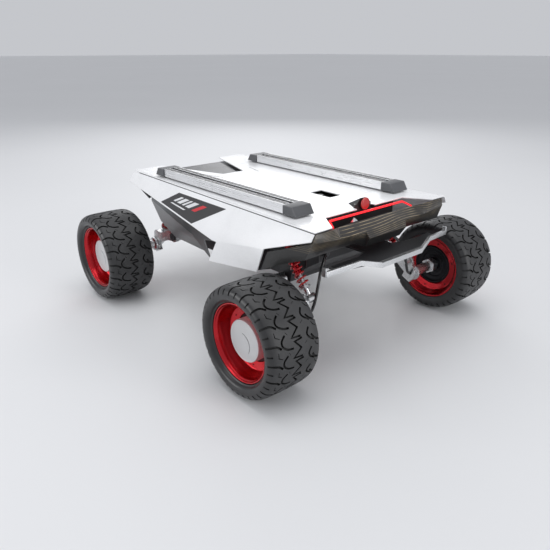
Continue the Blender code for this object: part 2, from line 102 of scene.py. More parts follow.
# ---------------------------------------------------------------- materials
class Nodes:
    """A small helper that adds shader nodes to one material."""

    def __init__(self, name):
        self.material = bpy.data.materials.new(name)
        self.material.use_nodes = True
        self.tree = self.material.node_tree
        self.shader = self.tree.nodes["Principled BSDF"]
        self.place = self.add("ShaderNodeTexCoord").outputs["Object"]

    def add(self, kind, **values):
        node = self.tree.nodes.new(kind)
        for key, value in values.items():
            setattr(node, key, value)
        return node

    def link(self, a, b):
        self.tree.links.new(a, b)

    def scaled(self, scale):
        node = self.add("ShaderNodeMapping")
        node.inputs["Scale"].default_value = scale
        self.link(self.place, node.inputs["Vector"])
        return node.outputs["Vector"]

    def noise(self, scale, detail=3.0, rough=0.55, vector=None):
        node = self.add("ShaderNodeTexNoise")
        node.inputs["Scale"].default_value = scale
        node.inputs["Detail"].default_value = detail
        node.inputs["Roughness"].default_value = rough
        self.link(vector or self.place, node.inputs["Vector"])
        return node.outputs["Fac"]

    def spread(self, value, low, high, a, b):
        node = self.add("ShaderNodeMapRange")
        node.inputs["From Min"].default_value = low
        node.inputs["From Max"].default_value = high
        node.inputs["To Min"].default_value = a
        node.inputs["To Max"].default_value = b
        self.link(value, node.inputs["Value"])
        return node.outputs["Result"]

    def maths(self, operation, a, b=None):
        node = self.add("ShaderNodeMath", operation=operation)
        for k, v in enumerate((a, b)):
            if v is None:
                continue
            if isinstance(v, (int, float)):
                node.inputs[k].default_value = v
            else:
                self.link(v, node.inputs[k])
        return node.outputs[0]

    def mix(self, share, a, b):
        node = self.add("ShaderNodeMix", data_type="RGBA")
        for socket, v in ((node.inputs[0], share), (node.inputs[6], a), (node.inputs[7], b)):
            if isinstance(v, (int, float)):
                socket.default_value = v
            elif isinstance(v, tuple):
                socket.default_value = (*v, 1.0) if len(v) == 3 else v
            else:
                self.link(v, socket)
        return node.outputs[2]

    def bump(self, height, strength, distance=0.0005, after=None):
        node = self.add("ShaderNodeBump")
        node.inputs["Strength"].default_value = strength
        node.inputs["Distance"].default_value = distance
        self.link(height, node.inputs["Height"])
        if after is not None:
            self.link(after, node.inputs["Normal"])
        return node.outputs["Normal"]


def surface(name, colour, metallic=0.0, rough=(0.3, 0.42), grain=900.0, bump=0.06, cloud=14.0, tone=0.1, wear_and_edge_highlight=None,
            wear_rough=0.3, coat=0.0, coat_rough=0.08, specular=0.5, streak=None, emission=None, power=0.0):
    """A painted, moulded or metal surface: cloudy tone, fine grain in the gloss and the bump, lighter edges that are
    partly rubbed wear and partly a painted edge highlight.
    """
    m = Nodes(name)
    s = m.shader
    cloudy = m.noise(cloud, 4.0)
    vector = m.scaled(streak) if streak else None
    fine = m.noise(grain if not streak else 1.0, 2.0, 0.6, vector)
    dark = tuple(c * (1.0 - tone) for c in colour)
    light = tuple(min(1.0, c * (1.0 + tone * 0.6)) for c in colour)
    base = m.mix(m.spread(cloudy, 0.35, 0.65, 0.0, 1.0), dark, light)
    gloss = m.spread(m.maths("ADD", m.maths("MULTIPLY", cloudy, 0.5), m.maths("MULTIPLY", fine, 0.5)), 0.35, 0.65,
                     rough[0], rough[1])
    m.link(base, s.inputs["Base Color"])
    m.link(gloss, s.inputs["Roughness"])
    m.link(m.bump(fine, bump, 0.0002), s.inputs["Normal"])
    s.inputs["Metallic"].default_value = metallic
    s.inputs["Specular IOR Level"].default_value = specular
    s.inputs["Coat Weight"].default_value = coat
    s.inputs["Coat Roughness"].default_value = coat_rough
    if emission:
        s.inputs["Emission Color"].default_value = (*emission, 1.0)
        s.inputs["Emission Strength"].default_value = power
    m.material.diffuse_color = (*colour, 1.0)
    # the edge material's lighter colour is partly rubbed wear and partly a painted highlight along the bevels
    if wear_and_edge_highlight:
        rubbed_and_highlit = tuple(c * 0.45 + w * 0.55 for c, w in zip(colour, wear_and_edge_highlight))
        EDGES[name] = surface(name + "_edge", rubbed_and_highlit, metallic, (wear_rough, wear_rough + 0.1), 1300.0, 0.05, 60.0, 0.3,
                              coat=coat, coat_rough=coat_rough, specular=specular)
    return m.material


EDGES = {}
WHITE = surface("white_paint", (0.86, 0.865, 0.875), 0.0, (0.24, 0.33), 1300.0, 0.05, 9.0, 0.035,
                coat=0.35, coat_rough=0.12)
BLACK = surface("black_shell", (0.018, 0.018, 0.02), 0.0, (0.27, 0.4), 1500.0, 0.09, 20.0, 0.25,
                wear_and_edge_highlight=(0.09, 0.09, 0.095), coat=0.3, coat_rough=0.2)
HULL = surface("black_hull", (0.016, 0.016, 0.018), 0.2, (0.42, 0.58), 700.0, 0.16, 16.0, 0.3, wear_and_edge_highlight=(0.12, 0.12, 0.12))
SKIRT = surface("satin_grey_skirt", (0.22, 0.225, 0.23), 0.85, (0.3, 0.42), 1200.0, 0.05, 12.0, 0.12,
                wear_and_edge_highlight=(0.5, 0.5, 0.5))
RAIL_SIDE = surface("rail_bright_side", (0.72, 0.725, 0.735), 0.55, (0.24, 0.36), 1.0, 0.04, 12.0, 0.05,
                    streak=(25.0, 2200.0, 2200.0), wear_and_edge_highlight=(0.9, 0.9, 0.9))
RAIL_TOP = surface("rail_black_top", (0.012, 0.012, 0.013), 0.0, (0.45, 0.58), 1.0, 0.04, 12.0, 0.2, specular=0.2,
                   streak=(25.0, 2600.0, 1500.0), wear_and_edge_highlight=(0.5, 0.5, 0.52), wear_rough=0.28)
PLASTIC = surface("moulded_grey_plastic", (0.085, 0.088, 0.094), 0.0, (0.42, 0.56), 1900.0, 0.22, 25.0, 0.12,
                  wear_and_edge_highlight=(0.17, 0.17, 0.18))
HOUSING = surface("moulded_black_plastic", (0.02, 0.02, 0.022), 0.0, (0.36, 0.5), 1900.0, 0.2, 25.0, 0.2,
                  wear_and_edge_highlight=(0.09, 0.09, 0.09))
RED = surface("red_anodised", (0.52, 0.012, 0.02), 0.95, (0.17, 0.27), 1.0, 0.05, 10.0, 0.12,
              streak=(60.0, 2400.0, 60.0), wear_and_edge_highlight=(0.75, 0.25, 0.25), coat=0.35, coat_rough=0.1)
SILVER = surface("satin_steel", (0.66, 0.665, 0.675), 0.97, (0.2, 0.34), 1.0, 0.06, 18.0, 0.08,
                 streak=(1700.0, 70.0, 1700.0), wear_and_edge_highlight=(0.9, 0.9, 0.9), wear_rough=0.2)
CAP = surface("hub_cap_metal", (0.6, 0.605, 0.61), 0.5, (0.3, 0.42), 1400.0, 0.05, 14.0, 0.06, wear_and_edge_highlight=(0.8, 0.8, 0.8),
              coat=0.15, coat_rough=0.2)
DARK = surface("black_anodised", (0.022, 0.022, 0.025), 0.85, (0.3, 0.44), 1100.0, 0.07, 20.0, 0.2,
               wear_and_edge_highlight=(0.25, 0.25, 0.26))
ARM = surface("black_powder_coat", (0.02, 0.02, 0.022), 0.1, (0.38, 0.52), 1300.0, 0.3, 20.0, 0.2,
              wear_and_edge_highlight=(0.2, 0.2, 0.2))
SPRING = surface("red_spring_paint", (0.5, 0.012, 0.014), 0.1, (0.2, 0.32), 800.0, 0.1, 30.0, 0.12,
                 wear_and_edge_highlight=(0.55, 0.2, 0.18), coat=0.5, coat_rough=0.08)
GLOW = surface("lit_red_strip", (0.7, 0.02, 0.025), 0.0, (0.25, 0.35), 900.0, 0.02, 30.0, 0.05,
               emission=(1.0, 0.02, 0.03), power=1.1)
BUTTON = surface("red_button_plastic", (0.52, 0.012, 0.014), 0.0, (0.25, 0.36), 1200.0, 0.08, 25.0, 0.08,
                 wear_and_edge_highlight=(0.6, 0.12, 0.1), coat=0.4, coat_rough=0.1)
CABLE = surface("cable_jacket", (0.012, 0.012, 0.013), 0.0, (0.2, 0.3), 900.0, 0.12, 40.0, 0.2, coat=0.3)
PACK = surface("battery_wrap", (0.02, 0.035, 0.09), 0.0, (0.4, 0.5), 600.0, 0.1, 16.0, 0.15, wear_and_edge_highlight=(0.1, 0.12, 0.2))
PRINT_BLACK = surface("label_black", (0.02, 0.02, 0.021), 0.0, (0.3, 0.4), 1500.0, 0.05, 12.0, 0.12, coat=0.2)
PRINT_PALE = surface("label_pale", (0.72, 0.73, 0.74), 0.0, (0.34, 0.44), 1500.0, 0.05, 12.0, 0.06)
PRINT_RED = surface("label_red", (0.6, 0.02, 0.03), 0.0, (0.34, 0.44), 1500.0, 0.05, 12.0, 0.08)
SEAM = surface("dark_joint_line", (0.03, 0.03, 0.032), 0.0, (0.5, 0.6), 900.0, 0.05, 30.0, 0.2)
SOFT_SEAM = surface("pale_joint_line", (0.5, 0.5, 0.51), 0.0, (0.4, 0.5), 900.0, 0.05, 30.0, 0.06)


def rubber(name, rough, colour):
    m = Nodes(name)
    s = m.shader
    fine = m.noise(1400.0, 3.0, 0.6)
    dust = m.noise(26.0, 5.0, 0.6)
    base = m.mix(m.spread(dust, 0.4, 0.75, 0.0, 0.75), colour, tuple(c * 2.3 for c in colour))
    m.link(base, s.inputs["Base Color"])
    m.link(m.spread(m.maths("ADD", m.maths("MULTIPLY", fine, 0.35), m.maths("MULTIPLY", dust, 0.65)), 0.35, 0.65,
                    rough[0], rough[1]), s.inputs["Roughness"])
    m.link(m.bump(fine, 0.14, 0.0002, m.bump(dust, 0.12, 0.0006)), s.inputs["Normal"])
    s.inputs["Specular IOR Level"].default_value = 0.55
    m.material.diffuse_color = (*colour, 1.0)
    return m.material


TREAD = rubber("tread_rubber", (0.42, 0.56), (0.021, 0.021, 0.022))
WALL = rubber("sidewall_rubber", (0.27, 0.36), (0.017, 0.017, 0.018))
# the groove rubber is darker than the tread rubber: painted shade in the grooves' bottoms and walls; its higher
# roughness is the rubber's own
GROOVE_SHADED = rubber("groove_rubber_painted_shade", (0.6, 0.75), (0.007, 0.007, 0.007))


def contour_panel():
    """Dark carbon shell with a fine twill and, on its upper band, thin tan contour lines that flow like a map's."""
    m = Nodes("contour_line_panel")
    s = m.shader
    parts = m.add("ShaderNodeSeparateXYZ")
    m.link(m.place, parts.inputs["Vector"])
    wave = m.add("ShaderNodeTexWave", wave_type="BANDS", bands_direction="Z")
    wave.inputs["Scale"].default_value = 120.0
    wave.inputs["Distortion"].default_value = 26.0
    wave.inputs["Detail"].default_value = 1.2
    wave.inputs["Detail Scale"].default_value = 0.16
    wave.inputs["Detail Roughness"].default_value = 0.4
    squeeze = m.scaled((0.35, 0.35, 1.0))
    m.link(squeeze, wave.inputs["Vector"])
    line = m.spread(wave.outputs["Fac"], 0.88, 0.98, 0.0, 1.0)
    height = m.spread(parts.outputs["Z"], 0.1965, 0.2045, 0.0, 1.0)
    broken = m.spread(m.noise(45.0, 3.0), 0.36, 0.6, 0.15, 1.0)
    tan = m.maths("MULTIPLY", m.maths("MULTIPLY", line, height), broken)
    twill = m.add("ShaderNodeTexChecker")
    twill.inputs["Scale"].default_value = 620.0
    turned = m.add("ShaderNodeMapping")
    turned.inputs["Rotation"].default_value = (0.0, 0.0, math.radians(45.0))
    m.link(m.place, turned.inputs["Vector"])
    m.link(turned.outputs["Vector"], twill.inputs["Vector"])
    base = m.mix(m.maths("MULTIPLY", twill.outputs["Fac"], 0.6), (0.012, 0.012, 0.012), (0.022, 0.021, 0.02))
    base = m.mix(m.maths("MULTIPLY", height, 0.35), base, (0.032, 0.025, 0.019))
    m.link(m.mix(tan, base, (0.42, 0.33, 0.2)), s.inputs["Base Color"])
    m.link(m.spread(m.noise(900.0), 0.3, 0.7, 0.26, 0.4), s.inputs["Roughness"])
    m.link(m.bump(twill.outputs["Fac"], 0.08, 0.0002), s.inputs["Normal"])
    s.inputs["Coat Weight"].default_value = 0.2
    s.inputs["Coat Roughness"].default_value = 0.12
    return m.material


CONTOUR = contour_panel()


# ---------------------------------------------------------------- mesh tools
def new_object(name, work, materials, smooth=35.0):
    """Turn a bmesh in metres into an object, smooth except across sharp edges."""
    bmesh.ops.recalc_face_normals(work, faces=work.faces)
    mesh = bpy.data.meshes.new(name)
    work.to_mesh(mesh)
    work.free()
    for material in materials if isinstance(materials, (list, tuple)) else [materials]:
        mesh.materials.append(material)
    thing = bpy.data.objects.new(name, mesh)
    SCENE.collection.objects.link(thing)
    mesh.shade_smooth()
    mesh.set_sharp_from_angle(angle=math.radians(smooth))
    return thing


def bevel(thing, width, segments=2, angle=32.0):
    if width:
        edge = thing.modifiers.new("edge", "BEVEL")
        edge.width = width * MM
        edge.segments = segments
        edge.limit_method = "ANGLE"
        edge.angle_limit = math.radians(angle)
        edge.use_clamp_overlap = True
        edge.harden_normals = False
        # the bevel faces take the lighter edge material: rubbed wear and a painted edge highlight
        if len(thing.data.materials) > 1:
            edge.material = 1
    return thing


def dress(node, material, edge=0.5, segments=2):
    """The CAD node's own shape as a clean mesh with eased edges and its material; it stands for the node."""
    work = bmesh.new()
    work.from_mesh(NODES[node].data)
    bmesh.ops.remove_doubles(work, verts=work.verts, dist=0.000005)
    bmesh.ops.dissolve_limit(work, angle_limit=math.radians(0.4), verts=work.verts, edges=work.edges)
    pair = [material] + ([EDGES[material.name]] if material.name in EDGES else [])
    thing = new_object(node + "_skin", work, pair)
    bevel(thing, edge, segments)
    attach(thing, NODES[node]["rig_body"])
    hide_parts(node)
    return thing


def spin(work, profile, steps, centre, out, material=0, closed=False):
    """Turn a (radius, distance) profile in mm about the wheel's axis. out is +1 or -1 along Y."""
    rings = []
    for r, h in profile:
        ring = []
        for k in range(steps):
            a = 2.0 * math.pi * k / steps
            ring.append(work.verts.new((centre[0] * MM + r * MM * math.cos(a), (centre[1] + out * h) * MM,
                                        centre[2] * MM + r * MM * math.sin(a))))
        rings.append(ring)
    last = len(rings) if closed else len(rings) - 1
    for i in range(last):
        a, b = rings[i], rings[(i + 1) % len(rings)]
        for k in range(steps):
            n = (k + 1) % steps
            face = work.faces.new((a[k], a[n], b[n], b[k]))
            face.material_index = material
    return rings


def cap_ring(work, ring, material=0):
    face = work.faces.new(ring)
    face.material_index = material


def eased(points, radius, arc=3):
    """Round the corners of an open (r, h) profile."""
    made = [points[0]]
    for before, at, after in zip(points, points[1:], points[2:]):
        a, p, b = Vector(before), Vector(at), Vector(after)
        u, v = (a - p), (b - p)
        if u.length < 1e-6 or v.length < 1e-6 or u.angle(v) > math.radians(174.0):
            made.append(tuple(p))
            continue
        cut = min(radius, u.length * 0.45, v.length * 0.45)
        s, e = p + u.normalized() * cut, p + v.normalized() * cut
        for k in range(arc + 1):
            t = k / arc
            made.append(tuple((s * (1 - t) + p * t) * (1 - t) + (p * (1 - t) + e * t) * t))
    made.append(points[-1])
    return made


def tube(name, points, radius, material, sides=12, smooth_steps=6):
    """A round bar or cable along a smooth line through points, in mm, as a closed mesh."""
    pts = [Vector(p) for p in points]
    line = []
    for i in range(len(pts) - 1):
        p0, p1, p2, p3 = pts[max(i - 1, 0)], pts[i], pts[i + 1], pts[min(i + 2, len(pts) - 1)]
        for k in range(smooth_steps):
            t = k / smooth_steps
            line.append(0.5 * (2 * p1 + (p2 - p0) * t + (2 * p0 - 5 * p1 + 4 * p2 - p3) * t * t
                               + (3 * p1 - p0 - 3 * p2 + p3) * t ** 3))
    line.append(pts[-1])
    work = bmesh.new()
    normal = None
    rings = []
    for i, p in enumerate(line):
        run = (line[min(i + 1, len(line) - 1)] - line[max(i - 1, 0)]).normalized()
        normal = run.orthogonal() if normal is None else normal - run * normal.dot(run)
        normal.normalize()
        other = run.cross(normal)
        rings.append([work.verts.new((p + (normal * math.cos(2 * math.pi * k / sides)
                                           + other * math.sin(2 * math.pi * k / sides)) * radius) * MM)
                      for k in range(sides)])
    for a, b in zip(rings, rings[1:]):
        for k in range(sides):
            n = (k + 1) % sides
            work.faces.new((a[k], a[n], b[n], b[k]))
    work.faces.new(rings[0])
    work.faces.new(rings[-1])
    return new_object(name, work, material, 60.0)


def plate(name, outline, thickness, material, edge=0.0):
    """A thin plate: the outline's points in mm, pushed back by the thickness vector."""
    work = bmesh.new()
    back = Vector(thickness) * MM
    verts = [work.verts.new(Vector(p) * MM) for p in outline]
    face = work.faces.new(verts)
    grown = bmesh.ops.extrude_face_region(work, geom=[face])
    bmesh.ops.translate(work, vec=back, verts=[g for g in grown["geom"] if isinstance(g, bmesh.types.BMVert)])
    thing = new_object(name, work, material)
    return bevel(thing, edge)


# ---------------------------------------------------------------- tyres
PITCHES = 19
WHEEL_R = 84.4
PITCH = 2.0 * math.pi * WHEEL_R / PITCHES
# the tread's section from its middle to one side: distance along the surface, radius, distance from the middle
SECTION = [(0.0, 84.4, 0.0), (12.0, 84.35, 12.0), (22.0, 84.1, 22.0), (30.0, 83.7, 30.0), (35.0, 83.0, 35.0),
           (38.5, 82.0, 38.3), (41.5, 80.5, 40.9), (44.5, 78.4, 43.0), (47.5, 75.9, 44.6), (50.5, 73.0, 45.4)]


def tread_point(s, depth):
    """Radius and distance from the middle of the tread's surface at s, sunk by depth."""
    a = abs(s)
    for (s0, r0, y0), (s1, r1, y1) in zip(SECTION, SECTION[1:]):
        if a <= s1 or s1 == SECTION[-1][0]:
            t = (a - s0) / (s1 - s0)
            r, y = r0 + (r1 - r0) * t, y0 + (y1 - y0) * t
            run = Vector((y1 - y0, r1 - r0)).normalized()
            normal = Vector((-run.y, run.x))
            fade = 1.0 if a < 40.0 else max(0.25, 1.0 - (a - 40.0) / 12.0)
            return r - normal.y * depth * fade, math.copysign(y - normal.x * depth * fade, s) if s else 0.0
    return SECTION[-1][1], math.copysign(SECTION[-1][2], s)


def ribbon(points, width, tapered=False):
    """A polyline in (s, t), given a width, as a closed outline."""
    pts = [Vector(p) for p in points]
    left, right = [], []
    for i, p in enumerate(pts):
        a = (p - pts[i - 1]).normalized() if i else (pts[1] - p).normalized()
        b = (pts[i + 1] - p).normalized() if i + 1 < len(pts) else a
        bend = (a + b).normalized()
        side = Vector((-bend.y, bend.x))
        grow = 1.0 / max(0.55, side.dot(Vector((-a.y, a.x))))
        w = width / 2.0 * grow
        if tapered and i in (0, len(pts) - 1):
            w *= 0.55
        left.append(p + side * w)
        right.append(p - side * w)
    return right + left[::-1]


def curve_through(points, steps=4):
    pts = [Vector(p) for p in points]
    made = []
    for i in range(len(pts) - 1):
        p0, p1, p2, p3 = pts[max(i - 1, 0)], pts[i], pts[i + 1], pts[min(i + 2, len(pts) - 1)]
        for k in range(steps):
            t = k / steps
            made.append(0.5 * (2 * p1 + (p2 - p0) * t + (2 * p0 - 5 * p1 + 4 * p2 - p3) * t * t
                               + (3 * p1 - p0 - 3 * p2 + p3) * t ** 3))
    made.append(pts[-1])
    return [tuple(p) for p in made]


GROOVES = [
    # the zigzag down the middle
    (ribbon([(7.0, -1.5), (-8.5, 0.0), (5.0, 10.6), (-5.0, 22.0), (8.5, 23.6)], 2.9), 3.6),
    # hooked grooves on both sides of it
    (ribbon(curve_through([(-8.0, 13.6), (-17.5, 15.2), (-25.0, 20.6), (-25.4, 28.0), (-18.5, 34.5)]), 3.0), 3.6),
    (ribbon(curve_through([(29.5, -13.5), (21.5, -8.5), (18.5, -2.0), (23.5, 5.5)]), 3.0), 3.6),
    # the grooves that open through the shoulders
    (ribbon(curve_through([(-51.0, -3.2), (-42.0, -3.0), (-34.0, -4.4), (-27.5, -9.6)]), 3.2), 3.4),
    (ribbon(curve_through([(51.0, 12.0), (42.0, 11.8), (35.0, 13.2), (29.0, 17.4), (25.5, 22.8)]), 3.2), 3.4),
    # shoulder notches half way between them
    (ribbon([(-51.0, 11.2), (-41.5, 11.0)], 2.6), 2.4),
    (ribbon([(51.0, -2.2), (41.5, -2.0)], 2.6), 2.4),
    # sipes in the shoulder blocks
    (ribbon([(-27.5, 4.4), (-33.5, 7.8), (-33.2, 14.6)], 1.5, True), 1.7),
    (ribbon([(38.5, 3.0), (33.0, 6.2), (30.4, 11.2)], 1.5, True), 1.7),
    (ribbon([(-14.0, 5.6), (-16.5, 10.0)], 1.2, True), 1.5),
    (ribbon([(12.5, 14.0), (17.0, 17.0)], 1.2, True), 1.5),
]


def tread_sheet():
    """One pitch of the tread as 2-D points, triangles and the groove each triangle lies in."""
    points, edges, faces, depths = [], [], [], []
    lines_s = [s for s, r, y in SECTION]
    lines_s = sorted(set([-s for s in lines_s] + lines_s + [v for k in range(-9, 10) for v in (k * 4.4,)]))
    lines_s = [s for i, s in enumerate(lines_s) if i == 0 or s - lines_s[i - 1] > 1.2 or abs(s) > 50.0]
    lines_t = [PITCH * k / 6.0 for k in range(7)]
    for s in lines_s:
        points += [Vector((s, 0.0)), Vector((s, PITCH))]
        edges.append((len(points) - 2, len(points) - 1))
    for t in lines_t:
        points += [Vector((-50.5, t)), Vector((50.5, t))]
        edges.append((len(points) - 2, len(points) - 1))
    for outline, depth in GROOVES:
        for shift in (-2, -1, 0, 1, 2):
            moved = [Vector((p.x, p.y + shift * PITCH)) for p in outline]
            if max(p.y for p in moved) < -0.01 or min(p.y for p in moved) > PITCH + 0.01:
                continue
            start = len(points)
            points += moved
            faces.append(list(range(start, len(points))))
            depths.append(depth)
    out = delaunay_2d_cdt(points, edges, faces, 0, 1e-5)
    spots, cells, owners = out[0], out[2], out[5]
    kept = []
    for cell, owner in zip(cells, owners):
        middle = sum((spots[i] for i in cell), Vector((0.0, 0.0))) / len(cell)
        if abs(middle.x) < 50.5 and 0.0 < middle.y < PITCH:
            kept.append((cell, max([depths[o] for o in owner], default=0.0)))
    return spots, kept


SHEET = tread_sheet()


def build_tyre(name, centre, out, phase):
    spots, kept = SHEET
    work = bmesh.new()
    made = {}

    def vert(i, pitch, depth):
        s, t = spots[i]
        s = max(-50.5, min(50.5, s))
        r, y = tread_point(s, depth)
        angle = phase + 2.0 * math.pi * (t / PITCH + pitch) / PITCHES
        key = (round(s, 3), round((t / PITCH + pitch) % PITCHES, 4) % PITCHES, depth)
        if key not in made:
            made[key] = work.verts.new(((centre[0] + r * math.cos(angle)) * MM, (centre[1] + y) * MM,
                                        (centre[2] + r * math.sin(angle)) * MM))
        return made[key]

    def face(verts, material):
        if len(set(verts)) == len(verts):
            try:
                work.faces.new(verts).material_index = material
            except ValueError:
                pass

    around = {}
    for cell, depth in kept:
        for k in range(len(cell)):
            a, b = cell[k], cell[(k + 1) % len(cell)]
            around.setdefault((min(a, b), max(a, b)), []).append(depth)
    # depth of what lies across the pitch's own seam, found by where the edge is
    seam = {}
    for (a, b), found in around.items():
        if len(found) == 1 and abs(spots[a].y - spots[b].y) < 1e-4:
            side = 0 if abs(spots[a].y) < 1e-3 else 1
            seam[(side, round((spots[a].x + spots[b].x) / 2.0, 2))] = found[0]
    for pitch in range(PITCHES):
        for cell, depth in kept:
            # faces sunk into a groove take the third material, whose darker colour is painted shade
            face([vert(i, pitch, depth) for i in cell], 2 if depth else 0)
        for (a, b), found in around.items():
            if len(found) == 2:
                low, high = min(found), max(found)
            elif abs(spots[a].y - spots[b].y) < 1e-4 and abs(spots[a].y) < 1e-3:
                other = seam.get((1, round((spots[a].x + spots[b].x) / 2.0, 2)))
                if other is None:
                    continue
                low, high = min(found[0], other), max(found[0], other)
            elif abs(spots[a].x - spots[b].x) < 1e-4 and abs(spots[a].x) > 50.0 and found[0]:
                low, high = 0.0, found[0]
            else:
                continue
            if high - low > 1e-6:
                face([vert(a, pitch, low), vert(b, pitch, low), vert(b, pitch, high), vert(a, pitch, high)], 2)
    # sidewalls down to the beads, and the inside
    ends = {1: [(73.0, 45.4), (70.4, 45.55), (67.6, 45.0), (65.0, 43.6), (63.2, 41.6), (62.4, 39.4), (61.6, 38.2),
                (60.2, 37.4), (59.95, 35.6)],
            -1: [(73.0, 45.4), (70.4, 45.6), (67.6, 45.4), (65.0, 45.0), (63.4, 44.5), (62.2, 44.9), (60.8, 44.6),
                 (60.1, 43.4), (59.95, 42.0)]}
    steps = PITCHES * 6
    for side in (1, -1):
        profile = ends[side]
        rings = []
        for r, y in profile:
            rings.append([work.verts.new(((centre[0] + r * math.cos(phase + 2 * math.pi * k / steps)) * MM,
                                          (centre[1] + out * side * y) * MM,
                                          (centre[2] + r * math.sin(phase + 2 * math.pi * k / steps)) * MM))
                          for k in range(steps)])
        for a, b in zip(rings, rings[1:]):
            for k in range(steps):
                n = (k + 1) % steps
                face([a[k], a[n], b[n], b[k]], 1)
        ends[side] = rings[-1]
    for k in range(steps):
        n = (k + 1) % steps
        face([ends[1][k], ends[1][n], ends[-1][n], ends[-1][k]], 1)
    bmesh.ops.remove_doubles(work, verts=work.verts, dist=0.00001)
    thing = new_object(name, work, [TREAD, WALL, GROOVE_SHADED], 38.0)
    for polygon in thing.data.polygons:
        if polygon.material_index == 0:
            y = abs(polygon.center.y / MM - centre[1])
            if y > 41.5:
                polygon.material_index = 1
    return thing


# ---------------------------------------------------------------- wheels
def build_rim(name, centre, out):
    work = bmesh.new()
    profile = [(59.7, -43.3), (59.7, 36.3), (58.4, 37.2), (57.1, 36.8), (56.3, 34.9), (54.6, 33.2), (53.6, 30.0),
               (52.0, 22.6), (50.4, 18.0), (49.2, 13.6), (48.2, 12.2), (40.6, 9.4), (38.8, 8.8), (36.6, 8.5),
               (36.6, -29.3), (39.0, -30.2), (48.6, -32.4), (50.2, -33.6), (54.8, -39.6), (56.0, -42.2), (57.8, -43.6)]
    spin(work, eased(profile + [profile[0]], 0.8)[:-1], 96, centre, out, 0, True)
    thing = new_object(name, work, RED, 40.0)
    return thing


def build_screws(name, centre, out, radius, height, count, offset, head=2.3, tall=1.1, lean=0.0):
    """A ring of socket screws, each with its own recess, as one piece."""
    work = bmesh.new()
    for k in range(count):
        a = offset + 2.0 * math.pi * k / count
        at = (centre[0] + radius * math.cos(a), centre[1], centre[2] + radius * math.sin(a))
        profile = [(0.0001, -1.0), (head, -1.0), (head, tall - 0.3), (head - 0.3, tall), (head * 0.56, tall),
                   (head * 0.52, tall - 0.9), (0.0001, tall - 0.9)]
        base = len(work.verts)
        spin(work, [(r, height + h) for r, h in profile], 18, at, out)
        work.verts.ensure_lookup_table()
        if base < 0:
            break
    bmesh.ops.remove_doubles(work, verts=work.verts, dist=0.000002)
    return new_object(name, work, DARK, 40.0)


def build_cap(name, centre, out):
    """A shallow domed cap with a turned lip and a crescent groove sunk into its face."""
    rings = [(32.1, 7.3), (32.1, 24.7), (31.3, 26.0), (30.4, 26.35), (29.4, 26.3), (28.9, 26.0), (28.3, 26.05),
             (24.0, 26.3), (16.0, 26.5), (8.0, 26.58)]
    steps = 72
    work = bmesh.new()
    made = spin(work, rings, steps, centre, out)
    cap_ring(work, made[-1])
    cap_ring(work, made[0])
    thing = new_object(name, work, CAP, 32.0)
    cut = bmesh.new()
    outline = []
    for k in range(25):
        t = k / 24.0
        a = math.radians(84.0 - 118.0 * t)
        w = 0.28 + 0.85 * math.sin(math.pi * t)
        outline.append((-5.0 + (17.4 + w) * math.cos(a), -6.0 + (17.4 + w) * math.sin(a)))
    for k in range(24, -1, -1):
        t = k / 24.0
        a = math.radians(84.0 - 118.0 * t)
        w = 0.28 + 0.85 * math.sin(math.pi * t)
        outline.append((-5.0 + (17.4 - w * 0.6) * math.cos(a), -6.0 + (17.4 - w * 0.6) * math.sin(a)))
    low = [cut.verts.new(((centre[0] - out * x) * MM if out > 0 else (centre[0] + x) * MM, (centre[1] + out * 25.5) * MM,
                          (centre[2] + z) * MM)) for x, z in outline]
    shape = cut.faces.new(low)
    grown = bmesh.ops.extrude_face_region(cut, geom=[shape])
    bmesh.ops.translate(cut, vec=(0.0, out * 3.0 * MM, 0.0),
                        verts=[g for g in grown["geom"] if isinstance(g, bmesh.types.BMVert)])
    cutter = new_object(name + "_cutter", cut, DARK)
    step = thing.modifiers.new("crescent", "BOOLEAN")
    step.object = cutter
    step.operation = "DIFFERENCE"
    step.solver = "EXACT"
    bpy.context.view_layer.update()
    mesh = bpy.data.meshes.new_from_object(thing.evaluated_get(bpy.context.evaluated_depsgraph_get()))
    thing.modifiers.clear()
    thing.data = mesh
    mesh.name = name
    mesh.set_sharp_from_angle(angle=math.radians(32.0))
    bpy.data.objects.remove(cutter, do_unlink=True)
    return thing


def build_motor(name, centre, out):
    """The hub motor: the rim of the drum, a recessed back cover with a bearing seat."""
    work = bmesh.new()
    profile = [(36.2, 7.0), (36.2, -29.6), (34.6, -30.0), (33.0, -29.4), (32.2, -27.4), (30.0, -26.6), (24.4, -25.6),
               (23.6, -24.2), (17.2, -24.0), (16.2, -25.4), (12.6, -25.6), (11.8, -24.8), (9.4, -24.8), (9.4, -4.0)]
    made = spin(work, eased(profile, 0.5), 72, centre, out)
    cap_ring(work, made[0])
    cap_ring(work, made[-1])
    return new_object(name, work, DARK, 34.0)


def build_axle(name, node, centre):
    return dress(node, SILVER, 0.45)


for e, s, tag in CORNERS:
    body = "wheel" + tag
    centre = (e * 226.0, s * 228.0, 84.4)
    phase = {(1, -1): 0.05, (1, 1): 0.21, (-1, -1): 0.12, (-1, 1): 0.3}[(e, s)]
    tyre = build_tyre("tread_tyre" + tag, centre, s, phase)
    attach(tyre, body)
    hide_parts("tyre" + tag)
    rim = build_rim("dish_rim" + tag, centre, s)
    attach(rim, body)
    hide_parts("rim" + tag)
    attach(build_screws("rim_screws_out" + tag, centre, s, 44.2, 10.3, 6, math.radians(30.0), 1.7, 0.7), body)
    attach(build_screws("rim_screws_in" + tag, centre, -s, 44.4, 31.3, 6, math.radians(17.5), 1.7, 0.7), body)
    cap = build_cap("domed_cap" + tag, centre, s)
    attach(cap, body)
    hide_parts("hub_cap" + tag)
    motor = build_motor("motor_drum" + tag, centre, s)
    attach(motor, body)
    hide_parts("hub_motor" + tag)
    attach(build_screws("motor_screws" + tag, centre, -s, 27.6, 25.6, 6, math.radians(5.0), 1.5, 0.8), body)

